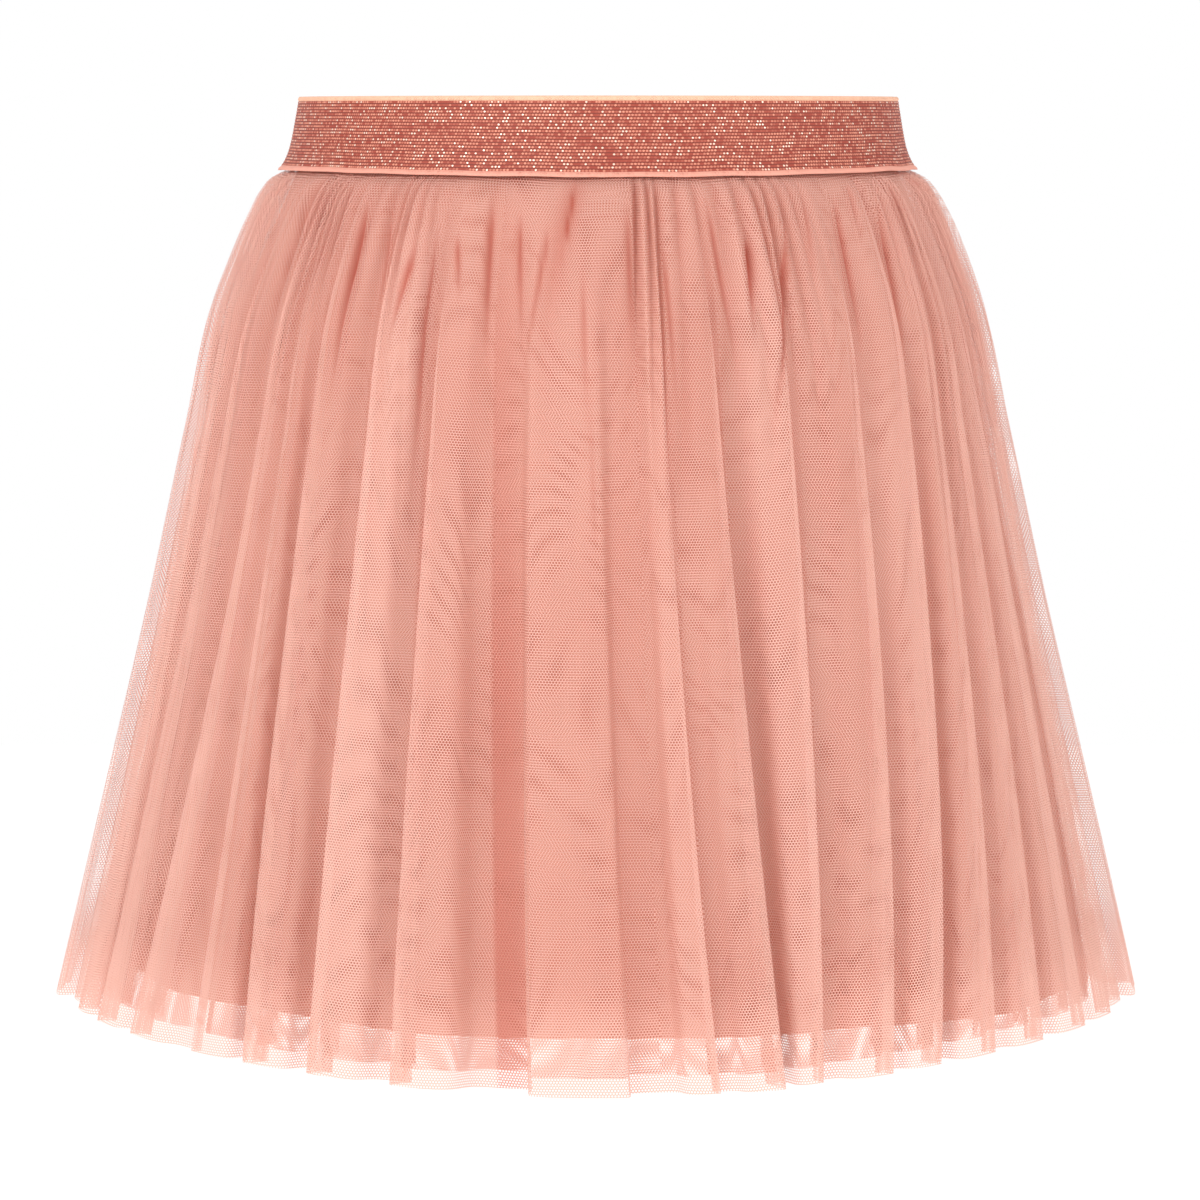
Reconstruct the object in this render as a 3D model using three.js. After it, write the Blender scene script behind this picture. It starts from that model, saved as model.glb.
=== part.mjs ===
// A child's gathered tulle skirt on a glitter elastic waistband, filled out as when it is worn.
// Millimetres, +Z up. The front faces -Y, and +X is the right-hand side seen from the front.
// The origin is the middle of the waist opening, at half the height of the waistband.
// The cloth is thin walls: an outer and an under layer of tulle, gathered together, over a plain
// A-line lining. Each layer has a front and a back panel, which meet at the side seams.

import * as THREE from 'three';

const GAP = 0.3;
const RADIANS = Math.PI / 180;
const FULL_TURN = 2 * Math.PI;
const SIDE_SEAM_ANGLE = 90;
const FRONT = 0;
const BACK = 180;

// Waistband: 25 mm elastic, woven round, which leans outward over the hips
const BAND_TOP = 12.75;
const BAND_BOTTOM = -12.9;
const BAND_SIDE_LIFT = 1.9;
const BAND_TOP_HALF_WIDTH = 98;
const BAND_FLARE = 6.2;
const BAND_FLARE_CURVE = 1.5;
const BAND_THICKNESS = 1.5;
const BAND_COLUMNS = 80;
const SELVEDGE_BULGE = 0.35;
const DEPTH_TO_WIDTH = 0.8;

// Tulle: both layers fall from inside the waistband to the hem
const TULLE_WALL = 1.0;
const TULLE_LAYER_GAP = 0.4;
const TULLE_SIDE_LIFT = 16.5;
const UNDER_LAYER_SHORTER = 5;
const POINTS_PER_FOLD = 6;
const FOLD_OVERHANG = 1.1;
const FOLD_SQUARENESS = 1.8;
const NARROW_VALLEY = 0.3;
const VALLEY_SWEEP = 1.6;
const OVERHANG_SWEEP = 0.5;
const SEAM_HEIGHT = 0.9;
const FULL_LEAN_HEIGHT = 0.5;
const MITRE_LIMIT = 1.35;

// Sections of the tulle from the seam in the waistband down to the hem, at centre front.
// halfWidth and halfDepth are taken over the fold ridges, fold is how far the ridges stand out
// from the valleys, and gather is half the depth of the small gathers below the waistband.
const TULLE_SECTIONS = [
  { z: -5.0, halfWidth: 99.6, halfDepth: 79.4, fold: 0.0, gather: 0.15 },
  { z: -13.3, halfWidth: 102.3, halfDepth: 81.4, fold: 0.0, gather: 0.15 },
  { z: -19.0, halfWidth: 110.9, halfDepth: 89.4, fold: 1.8, gather: 0.9 },
  { z: -60.0, halfWidth: 127.8, halfDepth: 102.6, fold: 6.0, gather: 0.6 },
  { z: -160.0, halfWidth: 148.3, halfDepth: 119.0, fold: 12.0, gather: 0.0 },
  { z: -298.0, halfWidth: 178.8, halfDepth: 143.0, fold: 17.0, gather: 0.0 },
];

// Folds of a panel, from the -90 degree seam to the +90 degree seam. Each row is one fold:
// waist and hem are the angles of the valley that ends it, crest and valley are heights as a
// share of the full fold, and lean is how far its ridge is pushed over, as a share of its width.
const FRONT_FOLDS = [
  { waist: -83.0, hem: -81.0, crest: 1.00, valley: 0.42, lean: 0.05 },
  { waist: -74.0, hem: -73.0, crest: 0.72, valley: 0.50, lean: -0.20 },
  { waist: -65.0, hem: -66.0, crest: 0.92, valley: 0.60, lean: -0.25 },
  { waist: -53.5, hem: -57.8, crest: 0.95, valley: 0.62, lean: -0.30 },
  { waist: -49.5, hem: -48.5, crest: 0.95, valley: 0.70, lean: -0.35 },
  { waist: -45.5, hem: -39.4, crest: 0.90, valley: 0.40, lean: -0.15 },
  { waist: -35.2, hem: -31.2, crest: 0.95, valley: 0.35, lean: -0.35 },
  { waist: -25.5, hem: -21.8, crest: 0.92, valley: 0.40, lean: -0.35 },
  { waist: -15.5, hem: -10.8, crest: 0.95, valley: 0.10, lean: -0.30 },
  { waist: 5.5, hem: 7.0, crest: 1.00, valley: 0.40, lean: 0.00 },
  { waist: 9.8, hem: 13.0, crest: 0.85, valley: 0.60, lean: 0.25 },
  { waist: 18.0, hem: 19.6, crest: 1.00, valley: 0.15, lean: 0.30 },
  { waist: 30.5, hem: 24.3, crest: 0.80, valley: 0.45, lean: 0.25 },
  { waist: 42.3, hem: 32.0, crest: 0.92, valley: 0.50, lean: 0.30 },
  { waist: 52.3, hem: 38.4, crest: 0.85, valley: 0.35, lean: 0.30 },
  { waist: 58.5, hem: 46.5, crest: 0.90, valley: 0.60, lean: 0.20 },
  { waist: 64.0, hem: 54.0, crest: 0.93, valley: 0.55, lean: 0.25 },
  { waist: 70.0, hem: 63.0, crest: 0.95, valley: 0.70, lean: 0.20 },
  { waist: 76.5, hem: 71.0, crest: 0.92, valley: 0.60, lean: 0.15 },
  { waist: 83.0, hem: 80.0, crest: 0.75, valley: 0.45, lean: 0.10 },
  { waist: 90.0, hem: 90.0, crest: 0.92, valley: 0.90, lean: 0.00 },
];
const BACK_FOLDS = [
  { waist: -84.0, hem: -81.0, crest: 1.00, valley: 0.42, lean: 0.05 },
  { waist: -75.5, hem: -70.0, crest: 0.75, valley: 0.60, lean: 0.15 },
  { waist: -69.0, hem: -62.0, crest: 1.00, valley: 0.70, lean: -0.20 },
  { waist: -58.0, hem: -50.0, crest: 0.92, valley: 0.35, lean: -0.30 },
  { waist: -50.5, hem: -43.0, crest: 0.88, valley: 0.55, lean: -0.20 },
  { waist: -40.0, hem: -33.0, crest: 0.95, valley: 0.20, lean: -0.35 },
  { waist: -25.5, hem: -20.0, crest: 0.90, valley: 0.40, lean: -0.30 },
  { waist: -15.0, hem: -12.0, crest: 0.85, valley: 0.55, lean: -0.20 },
  { waist: -5.0, hem: -3.0, crest: 0.95, valley: 0.10, lean: -0.25 },
  { waist: 10.0, hem: 11.0, crest: 1.00, valley: 0.30, lean: 0.10 },
  { waist: 20.0, hem: 18.0, crest: 0.82, valley: 0.50, lean: 0.30 },
  { waist: 36.0, hem: 29.0, crest: 0.95, valley: 0.15, lean: 0.35 },
  { waist: 46.5, hem: 38.0, crest: 0.88, valley: 0.45, lean: 0.20 },
  { waist: 58.0, hem: 50.0, crest: 0.95, valley: 0.40, lean: 0.35 },
  { waist: 65.5, hem: 58.0, crest: 0.90, valley: 0.65, lean: 0.15 },
  { waist: 76.0, hem: 71.0, crest: 0.95, valley: 0.60, lean: 0.20 },
  { waist: 83.5, hem: 80.0, crest: 0.72, valley: 0.45, lean: 0.10 },
  { waist: 90.0, hem: 90.0, crest: 0.92, valley: 0.90, lean: 0.00 },
];

// Lining: an A-line pair of panels that hangs in soft flutes and shows below the dense tulle
const LINING_WALL = 1.0;
const LINING_FLUTES = 5;
const POINTS_PER_FLUTE = 6;
const LINING_LEFT_LIFT = 13;
const LINING_RIGHT_LIFT = 4.5;
const LINING_SECTIONS = [
  { z: -5.0, halfWidth: 96.3, halfDepth: 76.1, flute: 0.0 },
  { z: -13.4, halfWidth: 98.4, halfDepth: 77.6, flute: 0.2 },
  { z: -60.0, halfWidth: 118.0, halfDepth: 90.4, flute: 2.0 },
  { z: -160.0, halfWidth: 140.0, halfDepth: 103.4, flute: 4.0 },
  { z: -283.5, halfWidth: 162.5, halfDepth: 119.5, flute: 6.5 },
];

const FINISH = {
  band: { color: 0xc2735f, roughness: 0.5, metalness: 0.35 },
  outerTulle: { color: 0xeaa592, roughness: 0.85, metalness: 0 },
  underTulle: { color: 0xe39a87, roughness: 0.85, metalness: 0 },
  lining: { color: 0xdf8d78, roughness: 0.8, metalness: 0 },
};

function mix(from, to, share) {
  return from + (to - from) * share;
}

// A point on an oval, with the direction that points straight out of the oval there.
// The angle is in degrees from centre front, towards +X.
function onOval(halfWidth, halfDepth, angle) {
  const sine = Math.sin(angle * RADIANS);
  const cosine = Math.cos(angle * RADIANS);
  const outward = new THREE.Vector2(sine / halfWidth, -cosine / halfDepth).normalize();
  const point = new THREE.Vector2(halfWidth * sine, -halfDepth * cosine);
  return { point, outward };
}

// How far the fall has gone at a height: 0 at the waistband's lower edge and 1 at the hem
function fallAt(z, sections) {
  const edge = sections[1].z;
  const hem = sections[sections.length - 1].z;
  return Math.max(0, (z - edge) / (hem - edge));
}

// The side seams hang shorter than the centre, because the cloth spreads further there
function liftAt(angle, fall, hemLift) {
  return Math.sin(angle * RADIANS) ** 2 * mix(BAND_SIDE_LIFT, hemLift, fall);
}

// Rises from 0 in the valleys to 1 on the ridge, with a flattened ridge and valley
function ridgeRise(place) {
  const wave = Math.tanh(FOLD_SQUARENESS * Math.cos(FULL_TURN * place)) / Math.tanh(FOLD_SQUARENESS);
  return (1 - wave) / 2;
}

// How far a fold turns over: fully where its ridge stands half the full height over both valleys,
// and less on a shallower fold, whose wall would otherwise meet itself
function turnOver(fold, before, fall) {
  const height = fold.crest - Math.max(fold.valley, before.valley);
  return fall ** OVERHANG_SWEEP * Math.min(1, height / FULL_LEAN_HEIGHT);
}

// How far across the fold a point of the cloth lies. Below the waistband the ridge soon widens
// over its valleys and leans to one side, so that the cloth turns back under its own edge.
function acrossFold(place, lean, turned, fall) {
  const overhang = FOLD_OVERHANG * turned * Math.sin(2 * FULL_TURN * place) / (2 * FULL_TURN);
  const leaning = lean * turned * (1 - Math.cos(FULL_TURN * place)) / 2;
  const narrowing = NARROW_VALLEY * fall * Math.sin(FULL_TURN * place) / FULL_TURN;
  return place + overhang + leaning - narrowing;
}

// One section of a tulle panel, as points from seam to seam
function tulleSection(folds, section, turn) {
  const fall = fallAt(section.z, TULLE_SECTIONS);
  const seam = { waist: -SIDE_SEAM_ANGLE, hem: -SIDE_SEAM_ANGLE, valley: SEAM_HEIGHT };
  const valleyAngle = (fold) => mix(fold.waist, fold.hem, fall ** VALLEY_SWEEP);
  const valleyWidth = section.halfWidth - section.fold - section.gather;
  const valleyDepth = section.halfDepth - section.fold - section.gather;
  const points = [];
  const addPoint = (angle, height, seamShift) => {
    const gather = points.length % 2 === 0 ? -section.gather : section.gather;
    const { point, outward } = onOval(valleyWidth, valleyDepth, angle + turn);
    point.addScaledVector(outward, section.fold * height + gather);
    point.addScaledVector(new THREE.Vector2(-outward.y, outward.x), seamShift);
    const z = section.z + liftAt(angle, fall, TULLE_SIDE_LIFT);
    points.push(new THREE.Vector3(point.x, point.y, z));
  };
  folds.forEach((fold, index) => {
    const before = index === 0 ? seam : folds[index - 1];
    const turned = turnOver(fold, before, fall);
    for (let step = 0; step < POINTS_PER_FOLD; step += 1) {
      const place = step / POINTS_PER_FOLD;
      const valley = place < 0.5 ? before.valley : fold.valley;
      const height = mix(valley, fold.crest, ridgeRise(place));
      const across = acrossFold(place, fold.lean, turned, fall);
      const angle = mix(valleyAngle(before), valleyAngle(fold), across);
      addPoint(angle, height, index + step === 0 ? GAP / 2 : 0);
    }
  });
  addPoint(SIDE_SEAM_ANGLE, SEAM_HEIGHT, -GAP / 2);
  return points;
}

// One section of a lining panel, with soft flutes that run inward from its outline
function liningSection(section, turn) {
  const fall = fallAt(section.z, LINING_SECTIONS);
  const columns = LINING_FLUTES * POINTS_PER_FLUTE;
  const points = [];
  for (let column = 0; column <= columns; column += 1) {
    const share = column / columns;
    const angle = mix(-SIDE_SEAM_ANGLE, SIDE_SEAM_ANGLE, share);
    const dip = section.flute * (1 - Math.cos(FULL_TURN * LINING_FLUTES * share)) / 2;
    const seamShift = (column === 0 ? GAP / 2 : 0) - (column === columns ? GAP / 2 : 0);
    const { point, outward } = onOval(section.halfWidth, section.halfDepth, angle + turn);
    point.addScaledVector(outward, -dip);
    point.addScaledVector(new THREE.Vector2(-outward.y, outward.x), seamShift);
    const hemLift = point.x < 0 ? LINING_LEFT_LIFT : LINING_RIGHT_LIFT;
    points.push(new THREE.Vector3(point.x, point.y, section.z + liftAt(angle, fall, hemLift)));
  }
  return points;
}

// The same grid of points, moved inward. At a sharp crease a point moves further, so that the
// wall keeps its thickness on both sides of the crease. At a side seam it keeps its distance
// from the plane between front and back.
function movedIn(grid, distance) {
  const last = grid.length - 1;
  return grid.map((row, r) => row.map((point, c) => {
    const left = row[Math.max(c - 1, 0)];
    const right = row[Math.min(c + 1, row.length - 1)];
    const above = grid[Math.max(r - 1, 0)][c];
    const below = grid[Math.min(r + 1, last)][c];
    const along = right.clone().sub(left);
    const down = below.clone().sub(above);
    const isEnd = c === 0 || c === row.length - 1;
    const inward = along.cross(down);
    if (isEnd) {
      inward.setY(0);
    }
    inward.normalize();
    const leftPart = point.clone().sub(left).normalize();
    const rightPart = right.clone().sub(point).normalize();
    const halfTurn = isEnd ? 0 : leftPart.angleTo(rightPart) / 2;
    const mitre = Math.min(MITRE_LIMIT, 1 / Math.cos(halfTurn));
    return point.clone().addScaledVector(inward, distance * mitre);
  }));
}

// The grid cut off above its last row, so that this layer ends higher than its neighbour
function shortened(grid, amount) {
  const last = grid.length - 1;
  const lastRow = grid[last].map((point, c) => {
    const above = grid[last - 1][c];
    const share = 1 - amount / (above.z - point.z);
    return above.clone().lerp(point, share);
  });
  return [...grid.slice(0, last), lastRow];
}

// A closed wall between an outer and an inner grid of points. Both faces are split the same
// way, so that layers made from one grid never touch.
function wallGeometry(outer, inner) {
  const rows = outer.length;
  const columns = outer[0].length;
  const positions = [...outer.flat(), ...inner.flat()].flatMap((point) => [point.x, point.y, point.z]);
  const innerStart = rows * columns;
  const at = (r, c) => r * columns + c;
  const triangles = [];
  const quad = (a, b, c, d) => triangles.push(a, b, c, a, c, d);
  for (let r = 0; r < rows - 1; r += 1) {
    for (let c = 0; c < columns - 1; c += 1) {
      quad(at(r, c), at(r + 1, c), at(r + 1, c + 1), at(r, c + 1));
      const flipped = [at(r, c), at(r, c + 1), at(r + 1, c + 1), at(r + 1, c)];
      quad(...flipped.map((index) => index + innerStart));
    }
  }
  const bottom = rows - 1;
  for (let c = 0; c < columns - 1; c += 1) {
    quad(at(0, c), at(0, c + 1), at(0, c + 1) + innerStart, at(0, c) + innerStart);
    quad(at(bottom, c), at(bottom, c) + innerStart, at(bottom, c + 1) + innerStart, at(bottom, c + 1));
  }
  const end = columns - 1;
  for (let r = 0; r < rows - 1; r += 1) {
    quad(at(r, 0), at(r, 0) + innerStart, at(r + 1, 0) + innerStart, at(r + 1, 0));
    quad(at(r, end), at(r + 1, end), at(r + 1, end) + innerStart, at(r, end) + innerStart);
  }
  return indexedGeometry(positions, triangles);
}

function indexedGeometry(positions, triangles) {
  const geometry = new THREE.BufferGeometry();
  geometry.setAttribute('position', new THREE.Float32BufferAttribute(positions, 3));
  geometry.setIndex(triangles);
  geometry.computeVertexNormals();
  return geometry;
}

// The waistband's profile, from the top edge down the outside and back up the inside.
// share runs from the top edge to the lower edge, and out is measured from the outer face.
function bandProfile() {
  const selvedge = 0.06;
  const rim = 0.02;
  const outside = [
    { share: 0, out: 0 },
    { share: rim, out: SELVEDGE_BULGE },
    { share: selvedge, out: SELVEDGE_BULGE },
    { share: selvedge + rim, out: 0 },
    { share: 0.5, out: 0 },
    { share: 1 - selvedge - rim, out: 0 },
    { share: 1 - selvedge, out: SELVEDGE_BULGE },
    { share: 1 - rim, out: SELVEDGE_BULGE },
    { share: 1, out: 0 },
  ];
  const inside = [1, 0.5, 0].map((share) => ({ share, out: -BAND_THICKNESS }));
  return [...outside, ...inside];
}

// The waistband is its profile carried once round the waist
function bandGeometry() {
  const profile = bandProfile();
  const positions = [];
  const triangles = [];
  const count = profile.length;
  for (let column = 0; column < BAND_COLUMNS; column += 1) {
    const angle = 360 * column / BAND_COLUMNS;
    const bottom = BAND_BOTTOM + liftAt(angle, 0, 0);
    const next = (column + 1) % BAND_COLUMNS;
    profile.forEach(({ share, out }, index) => {
      const halfWidth = BAND_TOP_HALF_WIDTH + BAND_FLARE * share ** BAND_FLARE_CURVE;
      const { point, outward } = onOval(halfWidth, halfWidth * DEPTH_TO_WIDTH, angle);
      point.addScaledVector(outward, out);
      positions.push(point.x, point.y, mix(BAND_TOP, bottom, share));
      const after = (index + 1) % count;
      const a = column * count + index;
      const b = column * count + after;
      const c = next * count + after;
      const d = next * count + index;
      triangles.push(a, b, c, a, c, d);
    });
  }
  return indexedGeometry(positions, triangles);
}

function piece(name, geometry, finish) {
  const mesh = new THREE.Mesh(geometry, new THREE.MeshStandardMaterial(finish));
  mesh.name = name;
  return mesh;
}

// The two tulle layers of one panel. The under layer is the outer layer's grid, moved inward.
function tullePanels(side, folds, turn) {
  const grid = TULLE_SECTIONS.map((section) => tulleSection(folds, section, turn));
  const underTop = movedIn(grid, TULLE_WALL + TULLE_LAYER_GAP);
  const underBack = movedIn(grid, 2 * TULLE_WALL + TULLE_LAYER_GAP);
  const outer = wallGeometry(grid, movedIn(grid, TULLE_WALL));
  const under = wallGeometry(
    shortened(underTop, UNDER_LAYER_SHORTER),
    shortened(underBack, UNDER_LAYER_SHORTER),
  );
  return [
    piece(`tulle_outer_${side}`, outer, FINISH.outerTulle),
    piece(`tulle_under_${side}`, under, FINISH.underTulle),
  ];
}

function liningPanel(side, turn) {
  const grid = LINING_SECTIONS.map((section) => liningSection(section, turn));
  return piece(`lining_${side}`, wallGeometry(grid, movedIn(grid, LINING_WALL)), FINISH.lining);
}

const skirt = new THREE.Group();
skirt.add(piece('waistband', bandGeometry(), FINISH.band));
skirt.add(...tullePanels('front', FRONT_FOLDS, FRONT));
skirt.add(...tullePanels('back', BACK_FOLDS, BACK));
skirt.add(liningPanel('front', FRONT));
skirt.add(liningPanel('back', BACK));

export default skirt;
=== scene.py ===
import math

import bpy
import numpy as np
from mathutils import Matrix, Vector


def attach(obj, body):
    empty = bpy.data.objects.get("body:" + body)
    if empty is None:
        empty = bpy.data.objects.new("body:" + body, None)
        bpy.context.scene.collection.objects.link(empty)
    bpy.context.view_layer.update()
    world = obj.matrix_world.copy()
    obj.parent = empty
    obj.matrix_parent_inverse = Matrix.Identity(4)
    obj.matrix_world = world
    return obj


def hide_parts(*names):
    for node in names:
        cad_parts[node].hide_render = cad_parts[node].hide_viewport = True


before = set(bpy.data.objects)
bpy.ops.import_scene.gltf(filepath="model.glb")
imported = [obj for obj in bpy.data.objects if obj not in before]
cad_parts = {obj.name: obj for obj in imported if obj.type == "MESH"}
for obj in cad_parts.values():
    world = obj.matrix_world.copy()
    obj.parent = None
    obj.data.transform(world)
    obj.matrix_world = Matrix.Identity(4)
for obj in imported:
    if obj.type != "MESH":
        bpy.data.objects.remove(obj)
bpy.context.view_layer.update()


# Camera
# The eye is level with the waistband, a little over two metres in front of the skirt, and looks
# slightly down, so that the near side of the hem hangs lower in the picture than the side seams.
EYE = Vector((0.0007, -2.2, 0.0))
LOOKS_AT = Vector((0.0007, 0.0, -0.1528))
PICTURE_WIDTH = 0.396
SENSOR = 36.0

camera_data = bpy.data.cameras.new("camera")
camera_data.sensor_width = SENSOR
camera_data.lens = SENSOR * (LOOKS_AT - EYE).length / PICTURE_WIDTH
camera = bpy.data.objects.new("camera", camera_data)
camera.location = EYE
camera.rotation_mode = "QUATERNION"
camera.rotation_quaternion = (LOOKS_AT - EYE).to_track_quat("-Z", "Y")
bpy.context.scene.collection.objects.link(camera)
bpy.context.scene.camera = camera


# Waistband
# A length of 25 mm elastic, woven with copper glitter yarn in 22 crosswise ribs, with a plain
# peach selvedge along both edges. Its ends overlap at centre back, and it covers the gathered
# tops of the tulle, which are sewn to it. Shapes are worked out in millimetres.
MM = 0.001
BAND_TOP = 12.75
BAND_BOTTOM = -12.9
BAND_SIDE_LIFT = 1.9
BAND_TOP_HALF_WIDTH = 98.0
BAND_LEAN = 4.0
BAND_EDGE_FLARE = 2.9
BAND_THICKNESS = 1.4
BAND_EDGE_WAVE = 0.35
BAND_SWAY = 0.5
DEPTH_TO_WIDTH = 0.8
JOIN_ANGLE = 180.0
JOIN_HALF_ANGLE = 4.0
JOIN_THICKNESS = 0.5
SELVEDGE = 1.5
SELVEDGE_BULGE = 0.35
SELVEDGE_ROWS = 9
BAND_RIBS = 22
RIB_HEIGHT = 0.16
ROWS_PER_RIB = 4
INSIDE_ROWS = 24
BAND_COLUMNS = 560
BAND_HEIGHT = 25.6
BAND_MAP_LENGTH = 610.0
PROFILE_LENGTH = 2 * BAND_HEIGHT


def mix(start, end, share):
    """start plus share times the difference of end and start."""
    return start + (end - start) * share


def smooth(low, high, value):
    """A soft step: 0 below low, 1 above high, and 3s squared minus 2s cubed between them."""
    share = np.clip((value - low) / (high - low), 0.0, 1.0)
    return share * share * (3.0 - 2.0 * share)


def on_oval(half_width, half_depth, angle, out=0.0):
    """x and y on an oval: half_width times the sine and minus half_depth times the cosine of the
    angle, in degrees from centre front towards +X, moved out along the oval's own normal."""
    turn = np.radians(angle)
    normal = np.stack(np.broadcast_arrays(np.sin(turn) / half_width, -np.cos(turn) / half_depth))
    normal = normal / np.linalg.norm(normal, axis=0)
    x = half_width * np.sin(turn) + out * normal[0]
    y = -half_depth * np.cos(turn) + out * normal[1]
    return x, y


def side_lift(angle, lift):
    """Height that a level line gains towards the side seams: lift times the sine squared."""
    return lift * np.sin(np.radians(angle)) ** 2


def drift(across, down, waves, seed):
    """An even, slow unevenness from -1 to 1: the mean of seeded plane waves over the two places."""
    random = np.random.default_rng(seed)
    total = 0.0
    for _ in range(waves):
        pitch_across, pitch_down = random.normal(size=2)
        phase = random.uniform(0.0, 2.0 * np.pi)
        total = total + np.sin(pitch_across * across + pitch_down * down + phase)
    return total / waves


def cloth_mesh(name, points, place, **marks):
    """A mesh over a grid of points in millimetres, rows from the top down and columns towards the
    right seen from outside. place is where each row has the left and the right side of each column
    of faces on the flat cloth, from 0 to 1 each way. It may have one more row or column than the
    points need, where the last one joins the first. marks are numbers kept at the points."""
    rows, columns = points.shape[:2]
    face_rows, face_columns = np.arange(place.shape[0] - 1), np.arange(place.shape[1])
    row, column = np.meshgrid(face_rows, face_columns, indexing="ij")
    corners = ((row, column, 0), (row + 1, column, 0), (row + 1, column, 1), (row, column, 1))
    faces = np.stack([r % rows * columns + (c + side) % columns for r, c, side in corners], axis=-1)
    mesh = bpy.data.meshes.new(name)
    mesh.from_pydata((points.reshape(-1, 3) * MM).tolist(), [], faces.reshape(-1, 4).tolist())
    layer = mesh.uv_layers.new(name="cloth")
    spread = np.stack([place[r, c, side] for r, c, side in corners], axis=-2)
    layer.uv.foreach_set("vector", spread.astype(np.float32).ravel())
    for mark, numbers in marks.items():
        numbers = np.broadcast_to(numbers, (rows, columns)).astype(np.float32)
        spots = mesh.attributes.new(mark, "FLOAT", "POINT")
        spots.data.foreach_set("value", numbers.ravel())
    mesh.shade_smooth()
    piece = bpy.data.objects.new(name, mesh)
    bpy.context.scene.collection.objects.link(piece)
    return piece


def flat_place(across, down):
    """Places on the flat cloth at the left and right side of each column of faces, for each row."""
    grid = np.stack(np.meshgrid(across, down), axis=-1)
    return np.stack([grid[:, :-1], grid[:, 1:]], axis=2)


def band_size(share):
    """Half width of the waistband at a share of its height from the top: an even lean over the
    hips, and a flare of the sixth power where the gathers push its lower edge out."""
    return BAND_TOP_HALF_WIDTH + BAND_LEAN * share + BAND_EDGE_FLARE * share ** 6


def band_profile():
    """Height shares and outward places round the elastic's section: a half-round selvedge, the
    ribs as the size of a sine, the other selvedge, and back up the plain inside."""
    edge = SELVEDGE / BAND_HEIGHT
    bead = np.linspace(0.0, 1.0, SELVEDGE_ROWS)
    ribs = np.linspace(0.0, 1.0, BAND_RIBS * ROWS_PER_RIB + 1)[1:-1]
    bead_out = SELVEDGE_BULGE * np.sin(np.pi * bead)
    rib_out = RIB_HEIGHT * np.abs(np.sin(np.pi * BAND_RIBS * ribs))
    inside = np.linspace(1.0, 0.0, INSIDE_ROWS)
    shares = [bead * edge, mix(edge, 1.0 - edge, ribs), mix(1.0 - edge, 1.0, bead), inside]
    outs = [bead_out, rib_out, bead_out, np.full(inside.size, -BAND_THICKNESS)]
    return np.concatenate(shares), np.concatenate(outs)


def waistband_points(angle):
    """The elastic's profile carried round the waist. It is thicker over the join at centre back,
    and its lower edge waves in and out and up and down with the gathers that it is sewn to."""
    share, out = band_profile()
    share, out = share[:, None], out[:, None]
    over_join = smooth(JOIN_HALF_ANGLE + 0.5, JOIN_HALF_ANGLE - 0.5, np.abs(angle - JOIN_ANGLE))
    join = JOIN_THICKNESS * over_join * (out > -BAND_THICKNESS)
    wave = BAND_EDGE_WAVE * share ** 4 * drift(angle * 0.9, 0.0, waves=7, seed=5)
    wave = wave + BAND_SWAY * drift(angle * 0.06, share, waves=5, seed=6)
    size = band_size(share)
    x, y = on_oval(size, size * DEPTH_TO_WIDTH, angle, out + join + wave)
    ease = BAND_EDGE_WAVE * drift(angle * 0.5, 0.0, waves=6, seed=7)
    bottom = BAND_BOTTOM + side_lift(angle, BAND_SIDE_LIFT) + ease
    z = np.broadcast_to(mix(BAND_TOP, bottom, share), x.shape)
    return np.stack([x, y, z], axis=-1)


class Shade:
    """One output of a material's nodes. Signs between shades, or a shade and a number, add the
    Math node that they name."""

    def __init__(self, socket):
        self.socket = socket
        self.tree = socket.id_data

    @classmethod
    def node(cls, tree, kind, settings=(), inputs=(), output=0):
        """Adds a node: its settings first, then a value or a link for each named input."""
        made = tree.nodes.new(kind)
        for setting, value in dict(settings).items():
            setattr(made, setting, value)
        for name, value in dict(inputs).items():
            if isinstance(value, Shade):
                tree.links.new(value.socket, made.inputs[name])
            else:
                made.inputs[name].default_value = value
        return cls(made.outputs[output])

    def math(self, operation, *others, first=None):
        """The named Math node on this shade and the others, or on first and this shade."""
        inputs = enumerate((self, *others) if first is None else (first, self))
        return Shade.node(self.tree, "ShaderNodeMath", {"operation": operation}, inputs)

    def __add__(self, other):
        return self.math("ADD", other)

    def __sub__(self, other):
        return self.math("SUBTRACT", other)

    def __rsub__(self, other):
        return self.math("SUBTRACT", first=other)

    def __mul__(self, other):
        return self.math("MULTIPLY", other)

    def __gt__(self, other):
        return self.math("GREATER_THAN", other)

    __radd__ = __add__
    __rmul__ = __mul__

    def fraction(self):
        return self.math("FRACT")

    def whole(self):
        return self.math("FLOOR")

    def size(self):
        return self.math("ABSOLUTE")

    def cosine(self):
        return self.math("COSINE")

    def step(self, low, high):
        """A soft step from 0 at low to 1 at high."""
        settings = {"interpolation_type": "SMOOTHSTEP"}
        inputs = {"Value": self, "From Min": low, "From Max": high}
        return Shade.node(self.tree, "ShaderNodeMapRange", settings, inputs)


def spot(x, y):
    """The vector of two shades, with nothing for its third number."""
    return Shade.node(x.tree, "ShaderNodeCombineXYZ", (), {"X": x, "Y": y})


def blended(share, start, end):
    """Colour between two colours: start where share is 0 and end where it is 1."""
    inputs = {"Factor": share, "A": start, "B": end}
    made = share.tree.nodes.new("ShaderNodeMix")
    made.data_type = "RGBA"
    for name, value in inputs.items():
        socket = [s for s in made.inputs if s.name == name and s.enabled][0]
        if isinstance(value, Shade):
            share.tree.links.new(value.socket, socket)
        else:
            socket.default_value = value if name == "Factor" else (*value[:3], 1.0)
    return Shade([s for s in made.outputs if s.enabled][0])


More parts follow.
